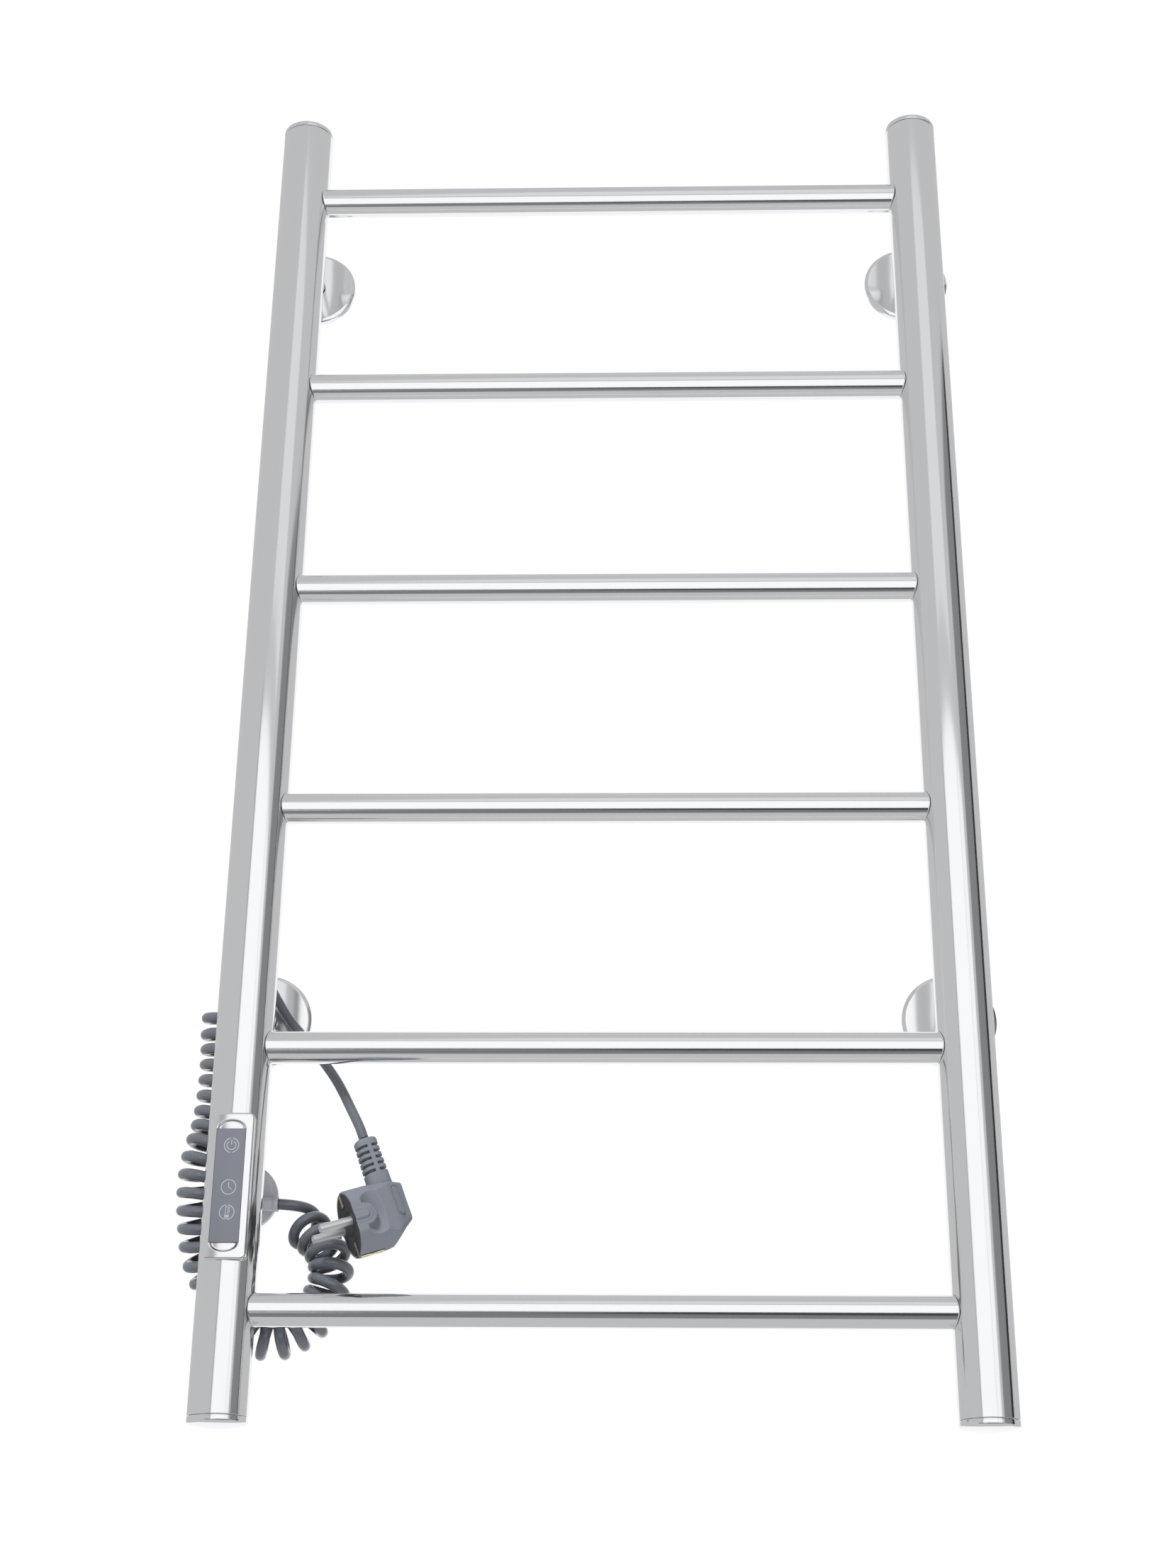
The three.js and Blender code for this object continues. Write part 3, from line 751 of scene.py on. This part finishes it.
def cord_path(sizes):
    """The curl, route(s) + r (cos a N + sin a B) with a = -2 pi s / pitch, between two plain tails.

    The lead-in meets the curl on the wall side of its first turn. The tail leaves it within the
    last turn, where the curl points most nearly along the line to it. r eases at the post.
    """
    route = smooth_route(COIL_ROUTE, 0.05) * MM
    travelled = travelled_along(route)
    angle = -2 * np.pi * travelled / sizes.coil_pitch
    near_post = ramp(travelled, travelled[-1] - POST_STRETCH, travelled[-1])
    radius = sizes.coil_radius * (1 - (1 - POST_SHARE) * near_post)
    _, normal, binormal = carried_frames(route)
    around = np.cos(angle)[:, None] * normal + np.sin(angle)[:, None] * binormal
    curl = route + radius[:, None] * around
    way = unit(np.gradient(curl, axis=0))
    turn = int(sizes.coil_pitch / (travelled[1] - travelled[0]))
    outlet = np.array(CORD_EXIT) * MM
    tail = smooth_route(PLUG_TAIL, 1.0) * MM
    entry = int(ENTRY_SHARE * turn)
    heading = np.einsum("ij,ij->i", unit(tail[0] - curl[-turn:]), way[-turn:])
    leave = len(curl) - turn + heading.argmax()
    lead = unit(outlet[1] - outlet[0])
    first = bridge(outlet[1], lead, curl[entry], way[entry], ENTRY_REACH)
    last = bridge(curl[leave], way[leave], tail[0], unit(tail[1] - tail[0]))
    whole = np.vstack([outlet[:1], first, curl[entry + 1:leave], last, tail[1:]])
    return resampled(whole, 1.6 * MM)


class CordOperator(bpy.types.Operator):
    """Curly mains cord from the outlet to the plug"""

    bl_idname = "towel_warmer.cord"
    bl_label = "Curly cord"

    def execute(self, context):
        sizes = context.scene.rack_sizes
        path = cord_path(sizes)
        travelled = travelled_along(path)
        total = float(travelled[-1])
        slim = ramp(travelled, total - 1.6 * PLAIN_TAIL, total - PLAIN_TAIL)
        radii = sizes.cord_radius * (1 - (1 - TAIL_SHARE) * slim)
        piece = swept("curly_cord", path, radii, 20)
        nodes = ["cord_tail_gland", "cord_coil_lower", "cord_coil_upper", "cord_tail_plug"]
        place(piece, "cord_jacket", nodes=nodes, slot="slate_plastic")
        return {"FINISHED"}


# ---- plug ----
# Plug axes: "back" points away from the pins, "up" towards the cord, "side" across the pins.
PLUG_FACE = np.array((-136.6, -60, 100.3)) * MM
PLUG_TILT = math.radians(21)
PLUG_TURN = math.radians(20)
PLUG_RADIUS = 18.3
PIN_REACH = 19.0
PIN_APART = 19.0
PIN_RADIUS = 2.4
RELIEF_BACK = 23.4
RELIEF_SLOTS = (24.2, 27.8, 31.4, 35.0, 38.6)


def plug_axes():
    """The plug's back, side and up directions as rows."""
    lean, turn = (np.cos(PLUG_TILT), np.sin(PLUG_TILT)), (np.cos(PLUG_TURN), np.sin(PLUG_TURN))
    back = (turn[0] * lean[0], turn[1], turn[0] * lean[1])
    side = (-turn[1] * lean[0], turn[0], -turn[1] * lean[1])
    return np.array((back, side, (-lean[1], 0, lean[0])))


def in_plug(points):
    """Points in the plug's own axes, in millimetres, moved to their place in metres."""
    return PLUG_FACE + np.asarray(points, float) @ plug_axes() * MM


def plug_loft(name, rows, starts=(0, -1)):
    """A closed skin over rings given in the plug's own axes."""
    rows, count = np.asarray(rows), len(rows[0])
    faces = grid_faces(len(rows), count, True) + end_discs(len(rows), count, starts)
    return new_mesh(name, in_plug(rows.reshape(-1, 3)), faces, 38)


def soft_least(first, second, blend):
    """The lesser of two heights, with the crease rounded over the blend."""
    share = np.clip(0.5 + 0.5 * (second - first) / blend, 0, 1)
    return second + (first - second) * share - blend * share * (1 - share)


def within(distance, edge):
    """1 where the signed distance is negative, 0 where it is positive, smooth across the edge."""
    return 1 - ramp(distance, -edge, edge)


def capsule(back, up, start, end, radius):
    """Signed distance to a round-ended bar between two points."""
    along = np.array(end, float) - start
    share = ((back - start[0]) * along[0] + (up - start[1]) * along[1]) / along.dot(along)
    share = np.clip(share, 0, 1)
    return np.hypot(back - start[0] - share * along[0], up - start[1] - share * along[1]) - radius


def plug_half_thickness(back, up):
    """Half thickness of the plug: the least of a cylinder, a flat, two slopes and a dish round a tab."""
    cylinder = np.sqrt(np.clip(PLUG_RADIUS**2 - up**2, 0, None))
    slope = soft_least(14.0 - 0.28 * (back - 17.3), 12.0 - 0.6 * (back - 24.4), 0.5)
    dish = 11.8 + 0.075 * (back - 12) ** 2 + 0.012 * up**2
    flat = np.full_like(back, 16.2)
    tab = np.minimum(np.maximum(np.abs(up) - 8.3, back - 5.8), np.hypot(back - 6.6, up) - 6.2)
    tab = within(tab, 0.45)
    body = soft_least(soft_least(cylinder, flat, 0.5), slope, 0.5)
    scooped = soft_least(body, dish, 0.4)
    pad = 0.25 * within(capsule(back, up, (-2, 0), (6.0, 0), 3.9), 0.3)
    grip = 0.7 * within(capsule(back, up, (-2, 0), (6.2, 0), 1.9), 0.3)
    bar = capsule(back, up, (27.6, -2.4), (27.6, 9.8), 1.7)
    ridge = 1.0 * within(bar, 0.25) - 0.35 * within(np.abs(bar - 0.5) - 0.2, 0.2)
    return scooped + (body - scooped) * tab + pad + grip + ridge


def plug_shell():
    """Sections across the back axis; each runs down one side and up the other, its ends rounded off."""
    rim = 0.6
    rim_rows = np.linspace(0, 1, 6) ** 1.5 * rim
    back = np.concatenate([np.zeros(1), rim_rows, np.linspace(rim, 32.0, 170)[1:]])
    turn = np.linspace(0, 2 * np.pi, 420, endpoint=False)
    back, turn = np.meshgrid(back, turn, indexing="ij")
    low = -PLUG_RADIUS + 1.4 * ramp(back, 16.5, 22) + 8.8 * np.clip((back - 21.5) / 10, 0, 1)
    high = PLUG_RADIUS - 0.7 * ramp(back, 15, 20) - 3.4 * np.clip((back - 18) / 13.5, 0, 1)
    share = -np.cos(turn)
    up = (low + high) / 2 + (high - low) / 2 * share
    square = ramp(back, 13, 22)
    power = 2 + 8 * square
    closing = np.clip(1 - np.abs(share) ** power, 0, 1) ** (1 / power)
    round_end = np.clip(1 - share**2, 0, 1) ** 0.5
    height = plug_half_thickness(back, up)
    cylinder = np.sqrt(np.clip(PLUG_RADIUS**2 - up**2, 1e-6, None))
    round_share = np.minimum(round_end * PLUG_RADIUS / cylinder, 1)
    side = height * (closing * square + (1 - square) * round_share)
    side = np.minimum(side, height) * np.where(np.sin(turn) >= 0, -1, 1)
    rows = np.stack([back, side, up], -1)
    edge = np.sqrt(np.clip(1 - (1 - np.clip(rows[:, :, :1] / rim, 0, 1)) ** 2, 0, 1)) * rim - rim
    rows[:, :, 1:] += unit(rows[:, :, 1:]) * edge
    rows = np.concatenate([lip_rows(rows[1], (0.0, 0.8), 0.7)[::-1], rows[1:], end_rows(rows[-1], 1.6)])
    return plug_loft("plug_shell", rows)


def lip_rows(ring, depths, width):
    """A lip inside a ring: the ring moved inwards by the width, at each depth."""
    rows = []
    for depth in depths:
        inner = ring.copy()
        inner[:, 1:] -= unit(ring[:, 1:]) * width
        inner[:, 0] = depth
        rows.append(inner)
    return np.array(rows)


def end_rows(ring, reach):
    """A rounded end: the ring drawn in towards its middle along a quarter circle."""
    middle = ring.mean(0)
    rows = []
    for angle in np.radians((20, 40, 60, 75, 90)):
        inner = ring.copy()
        outward = unit(ring[:, 1:] - middle[1:])
        inner[:, 1:] -= outward * reach * (1 - np.cos(angle))
        inner[:, 0] += reach * np.sin(angle) * 0.7
        rows.append(inner)
    return np.array(rows)


def relief_sleeve():
    """A tapered sleeve: r = radius(up), less the slot depth wherever a slot passes its side."""
    top = 42.0
    rounded_top = top + 1.5 * np.sin(np.linspace(0, np.pi / 2, 9))[1:]
    up = np.concatenate([np.linspace(12.0, top, 190), rounded_top])
    turn = np.linspace(0, 2 * np.pi, 144, endpoint=False)
    up, turn = np.meshgrid(up, turn, indexing="ij")
    radius = 6.7 - 0.55 * (up - 18) / 25
    rounding = 1.7 * (1 - np.sqrt(np.clip(1 - ((up - top) / 1.52).clip(0, 1) ** 2, 0, 1)))
    spine = np.abs(np.cos(turn)) * radius
    slots = sum(within(np.abs(up - slot) - 0.75, 0.12) for slot in RELIEF_SLOTS)
    clear = within(1.3 - spine, 0.2)
    power = 2.6
    across = (np.abs(np.cos(turn)) ** power + np.abs(np.sin(turn)) ** power) ** (-1 / power)
    radius = radius * across - rounding - 2.6 * slots * clear
    points = np.stack([RELIEF_BACK + radius * np.cos(turn), radius * np.sin(turn), up], -1)
    throat = points[-1].copy()
    throat[:, :2] = (RELIEF_BACK, 0) + unit(throat[:, :2] - (RELIEF_BACK, 0)) * 3.0
    deep = throat - (0, 0, 1.5)
    rows = np.concatenate([points, throat[None], deep[None]])
    return plug_loft("plug_relief_sleeve", rows)


def face_disc():
    """The black face: a disc with a soft rim, a collar round each pin and two flats for the tabs."""
    flat_radius = 17.0
    rim = flat_radius + 0.5 * np.sin(np.linspace(0, np.pi / 2, 6))[1:]
    radius = np.concatenate([np.linspace(0, flat_radius, 80), rim])
    turn = np.linspace(0, 2 * np.pi, 200, endpoint=False)
    radius, turn = np.meshgrid(radius, turn, indexing="ij")
    side, up = radius * np.cos(turn), radius * np.sin(turn)
    drop = 0.5 - np.sqrt(np.clip(0.25 - (radius - flat_radius).clip(0, None) ** 2, 0, None))
    collar = np.hypot(np.abs(side) - PIN_APART / 2, up) - 3.3
    back = 0.2 + drop - 0.9 * within(collar, 0.2)
    middle = within(np.hypot(side, up) - 8.0, 0.3) * within(np.abs(side) - 6.0, 0.3)
    back = back + 0.5 * within(np.abs(np.abs(up) - 5.5) - 1.2, 0.2) * middle
    side = np.clip(side, -15.5, 15.5)
    rows = np.stack([back, side, up], -1)
    rows = np.concatenate([rows, rows[-1:] + (2, 0, 0)])
    return plug_loft("plug_face_disc", rows, starts=(-1,))


def pin_piece(name, side):
    """A round pin with a softened tip, turned about the back axis."""
    profile = [(0, PIN_REACH), (1.1, PIN_REACH)] + arc((1.3, PIN_REACH - 1.1), 1.1, 85, 0, 7)
    profile += [(PIN_RADIUS, PIN_REACH - 2.2), (PIN_RADIUS, -1), (0, -1)]
    profile = np.array(profile) * MM
    axis = tuple(-plug_axes()[0])
    return turned(name, profile, in_plug((0, side, 0)), axis, 48, 30)


def earth_strip(name, sign, half, lift, sprung):
    """A strip bent from the face over the plug's edge; the sprung one bulges along the side. A wider black
    one laid under it is painted shade standing for the recess round the strip.
    """
    share = np.linspace(0, 1, 40)
    line = [(-0.1, 10.0), (-0.1, 16.4)]
    line += [(1.1 - 1.2 * np.cos(a), 16.8 + 1.2 * np.sin(a)) for a in share * np.pi / 2]
    line += [(b, 18.0 + sprung * np.exp(-(((b - 8) / 2.0) ** 2))) for b in 1.2 + share * 13]
    line = np.array(line)
    along = unit(np.gradient(line, axis=0))
    normal = np.stack([-along[:, 1], along[:, 0]], -1)
    rows = []
    section = [(-0.4, half), (lift - 0.1, half), (lift, half - 0.2)]
    section += [(rise, -side) for rise, side in reversed(section)]
    for rise, side in section:
        edge = line + normal * rise
        rows.append(np.stack([edge[:, 0], np.full(len(edge), side), sign * edge[:, 1]], -1))
    return plug_loft(name, np.stack(rows, 1))


class PlugOperator(bpy.types.Operator):
    """Angled mains plug with its strain relief"""

    bl_idname = "towel_warmer.plug"
    bl_label = "Plug"

    def execute(self, context):
        """Builds the shell, the face, the pins, the earth strips with a black band of painted recess shade
        under each, and the slotted sleeve.
        """
        place(plug_shell(), "slate_plastic", nodes=["plug_body"])
        place(face_disc(), "black_plastic", nodes=["plug_face"])
        place(relief_sleeve(), "slate_plastic", nodes=["plug_strain_relief"])
        for end, side in (("front", -1), ("rear", 1)):
            pin = pin_piece(f"plug_pin_{end}_round", side * PIN_APART / 2)
            place(pin, "plain_steel", nodes=[f"plug_pin_{end}"])
        for end, sign in (("upper", 1), ("lower", -1)):
            # A wider black band under each earth strip is painted shade: it stands for the shaded recess the
            # strip sits in, which is not cut.
            recess_shade = earth_strip(f"plug_earth_well_{end}", sign, 3.1, 0.22, 0)
            place(recess_shade, "black_plastic")
            strip = earth_strip(f"plug_earth_strip_{end}", sign, 1.6, 0.3, 0.35)
            place(strip, "brass", nodes=[f"plug_earth_clip_{end}"])
        return {"FINISHED"}


# ---- stage ----
class StageSettings(bpy.types.PropertyGroup):
    """Camera pose and light strengths."""

    camera_place: bpy.props.FloatVectorProperty(
        name="Camera place", description="Where the camera stands", size=3,
        default=(0.02296, -1.22693, -0.13634), subtype="XYZ_LENGTH",
    )
    camera_turn: bpy.props.FloatVectorProperty(
        name="Camera turn", description="Pitch, roll and yaw from looking straight at the wall", size=3,
        default=(math.radians(22.959), math.radians(-0.483), math.radians(1.612)), subtype="EULER",
    )
    lens: bpy.props.FloatProperty(
        name="Lens", description="Focal length in millimetres", default=66.53, unit="CAMERA",
    )
    room: bpy.props.FloatProperty(
        name="Room", description="Grey of the room that the chrome reflects", default=0.56, min=0.0,
    )
    soft_light: bpy.props.FloatProperty(
        name="Soft light", description="Brightness of the room as light on the dull pieces",
        default=0.26, min=0.0,
    )
    backdrop: bpy.props.FloatProperty(
        name="Backdrop", description="Brightness of the plain background", default=1.0, min=0.0,
    )


def add_camera(stage):
    """The camera, low in front of the rack and looking up."""
    data = bpy.data.cameras.new("camera")
    data.sensor_fit = "HORIZONTAL"
    data.sensor_width = 36.0
    data.lens = stage.lens
    data.clip_start = 0.01
    camera = linked("camera", data)
    pitch, roll, yaw = stage.camera_turn
    turn = Matrix.Rotation(yaw, 4, "Z") @ Matrix.Rotation(pitch, 4, "X") @ Matrix.Rotation(roll, 4, "Y")
    turn = turn @ Matrix.Rotation(math.radians(90), 4, "X")
    camera.matrix_world = Matrix.Translation(stage.camera_place) @ turn
    bpy.context.scene.camera = camera


def add_floor():
    """A pale floor well below the rack."""
    reach, level = 40.0, -0.45
    signs = ((-1, -1), (1, -1), (1, 1), (-1, 1))
    floor = flat_mesh("floor", [(x * reach, y * reach, level) for x, y in signs], [(0, 1, 2, 3)])
    pale = material("floor", (0.85, 0.85, 0.85), 0.0, (0.7, 0.9), 40, 0.0, 0.0001, 0.01)
    shader = pale.node_tree.nodes["Principled BSDF"]
    shader.inputs["Emission Color"].default_value = (1, 1, 1, 1)
    shader.inputs["Emission Strength"].default_value = 0.45
    pale.cycles.emission_sampling = "NONE"
    floor.data.materials.append(pale)
    floor.visible_glossy = False


CARDS = (
    # name, brightness, axis that it stands across, place on that axis, corners on the other two
    ("card_main_left", 1.06, 1, -1.3, ((-0.56, -0.17), (0.72, -0.17), (0.72, 0.95), (-0.5, 0.95))),
    ("card_main_right", 1.02, 1, -1.3, ((0.76, -0.17), (1.25, -0.17), (1.2, 0.95), (0.76, 0.95))),
    ("card_main_foot", 1.02, 1, -1.3, ((-0.56, -0.6), (-0.2, -0.6), (-0.2, -0.17), (-0.56, -0.17))),
    ("card_edge_left", 0.36, 1, -1.3, ((-0.68, -0.6), (-0.57, -0.6), (-0.51, 1.0), (-0.6, 1.0))),
    ("card_frame", 0.72, 1, -1.3, ((0.72, -0.17), (0.76, -0.17), (0.76, 0.95), (0.72, 0.95))),
    ("card_upper", 0.76, 1, -1.3, ((-0.25, 1.12), (0.9, 1.12), (0.9, 2.1), (-0.1, 2.1))),
    ("card_under", 0.21, 1, -1.3, ((-1.2, -1.6), (1.6, -1.6), (1.6, -0.2), (-1.2, -0.2))),
    ("card_right", 0.24, 0, 1.6, ((-1.25, -0.5), (-0.2, -0.5), (-0.2, 1.7), (-1.25, 1.7))),
    ("card_right_dark", 0.02, 0, 1.6, ((-0.2, -0.5), (0.1, -0.5), (0.06, 1.7), (-0.2, 1.7))),
    ("card_person", 0.05, 1, -1.25, ((-0.06, -0.5), (0.75, -0.9), (0.6, -0.28), (0.0, -0.2))),
    ("card_behind", 1.0, 1, 1.5, ((-0.9, -1.2), (0.9, -1.2), (0.9, 3.0), (-0.9, 3.0))),
)


def add_card(name, brightness, axis, level, corners):
    """A flat studio card that only reflections see."""
    card = flat_mesh(name, np.insert(corners, axis, level, axis=1), [(0, 1, 2, 3)])
    made = bpy.data.materials.new(name)
    made.use_nodes = True
    shader = made.node_tree.nodes["Principled BSDF"]
    shader.inputs["Base Color"].default_value = (0, 0, 0, 1)
    shader.inputs["Specular IOR Level"].default_value = 0.0
    shader.inputs["Emission Color"].default_value = (brightness, brightness, brightness, 1)
    shader.inputs["Emission Strength"].default_value = 1.0
    card.data.materials.append(made)
    card.visible_camera = False
    card.visible_shadow = False
    card.visible_diffuse = False
    made.cycles.emission_sampling = "NONE"


def add_light(name, spot, target, size, power):
    """One soft area light aimed at a point."""
    data = bpy.data.lights.new(name, "AREA")
    data.shape = "RECTANGLE"
    data.size, data.size_y = size
    data.energy = power
    light = linked(name, data)
    aim = (Vector(target) - Vector(spot)).to_track_quat("-Z", "Y")
    light.matrix_world = Matrix.Translation(spot) @ aim.to_matrix().to_4x4()
    light.visible_camera = False
    light.visible_glossy = False


def add_room(stage):
    """A grey room for reflections, dimmer for soft light, with a plain white background."""
    world = bpy.data.worlds.new("studio")
    world.use_nodes = True
    nodes = world.node_tree.nodes
    link = world.node_tree.links.new
    seen = nodes.new("ShaderNodeLightPath")
    lit, shown = nodes.new("ShaderNodeMix"), nodes.new("ShaderNodeMix")
    lit.inputs["A"].default_value = stage.room
    lit.inputs["B"].default_value = stage.soft_light
    shown.inputs["B"].default_value = stage.backdrop
    link(seen.outputs["Is Diffuse Ray"], lit.inputs["Factor"])
    link(lit.outputs["Result"], shown.inputs["A"])
    link(seen.outputs["Is Camera Ray"], shown.inputs["Factor"])
    link(shown.outputs["Result"], nodes["Background"].inputs["Strength"])
    nodes["Background"].inputs["Color"].default_value = (1, 1, 1, 1)
    bpy.context.scene.world = world


class StageOperator(bpy.types.Operator):
    """Camera, lights, floor and reflection cards"""

    bl_idname = "towel_warmer.stage"
    bl_label = "Stage"

    def execute(self, context):
        """Builds the studio round the rack."""
        stage = context.scene.rack_stage
        add_camera(stage)
        add_floor()
        for card in CARDS:
            add_card(*card)
        add_light("key", (-0.7, -1.1, 1.5), (-0.17, -0.05, 0.15), (0.45, 0.45), 32)
        add_light("fill", (0.9, -1.2, 0.1), (-0.1, 0, 0.2), (0.9, 1.2), 4)
        add_room(stage)
        context.scene.view_settings.view_transform = "Standard"
        return {"FINISHED"}


class TowelWarmerPanel(bpy.types.Panel):
    """Sidebar panel with one button for each group of pieces"""

    bl_idname = "TOWEL_PT_warmer"
    bl_label = "Towel warmer"
    bl_space_type = "VIEW_3D"
    bl_region_type = "UI"
    bl_category = "Towel warmer"

    def draw(self, context):
        """Lists the operators and the curl's pitch."""
        for operator in OPERATORS:
            self.layout.operator(operator.bl_idname)
        self.layout.prop(context.scene.rack_sizes, "coil_pitch")


OPERATORS = (
    StageOperator, PlugOperator, CordOperator, LadderOperator, BracketsOperator, PanelOperator,
    OutletOperator,
)
GROUPS = {"rack_sizes": RackSizes, "rack_colours": RackColours, "rack_stage": StageSettings}


def register():
    """Registers the property groups, the operators and the panel."""
    for name, group in GROUPS.items():
        bpy.utils.register_class(group)
        setattr(bpy.types.Scene, name, bpy.props.PointerProperty(type=group))
    for made in (*OPERATORS, TowelWarmerPanel):
        bpy.utils.register_class(made)


def unregister():
    """Undoes register."""
    for made in (TowelWarmerPanel, *reversed(OPERATORS)):
        bpy.utils.unregister_class(made)
    for name, group in reversed(GROUPS.items()):
        delattr(bpy.types.Scene, name)
        bpy.utils.unregister_class(group)


def main():
    register()
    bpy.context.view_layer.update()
    for operator in ("stage", "plug", "cord", "ladder", "brackets", "panel", "outlet"):
        getattr(bpy.ops.towel_warmer, operator)()


if __name__ == "__main__":
    main()
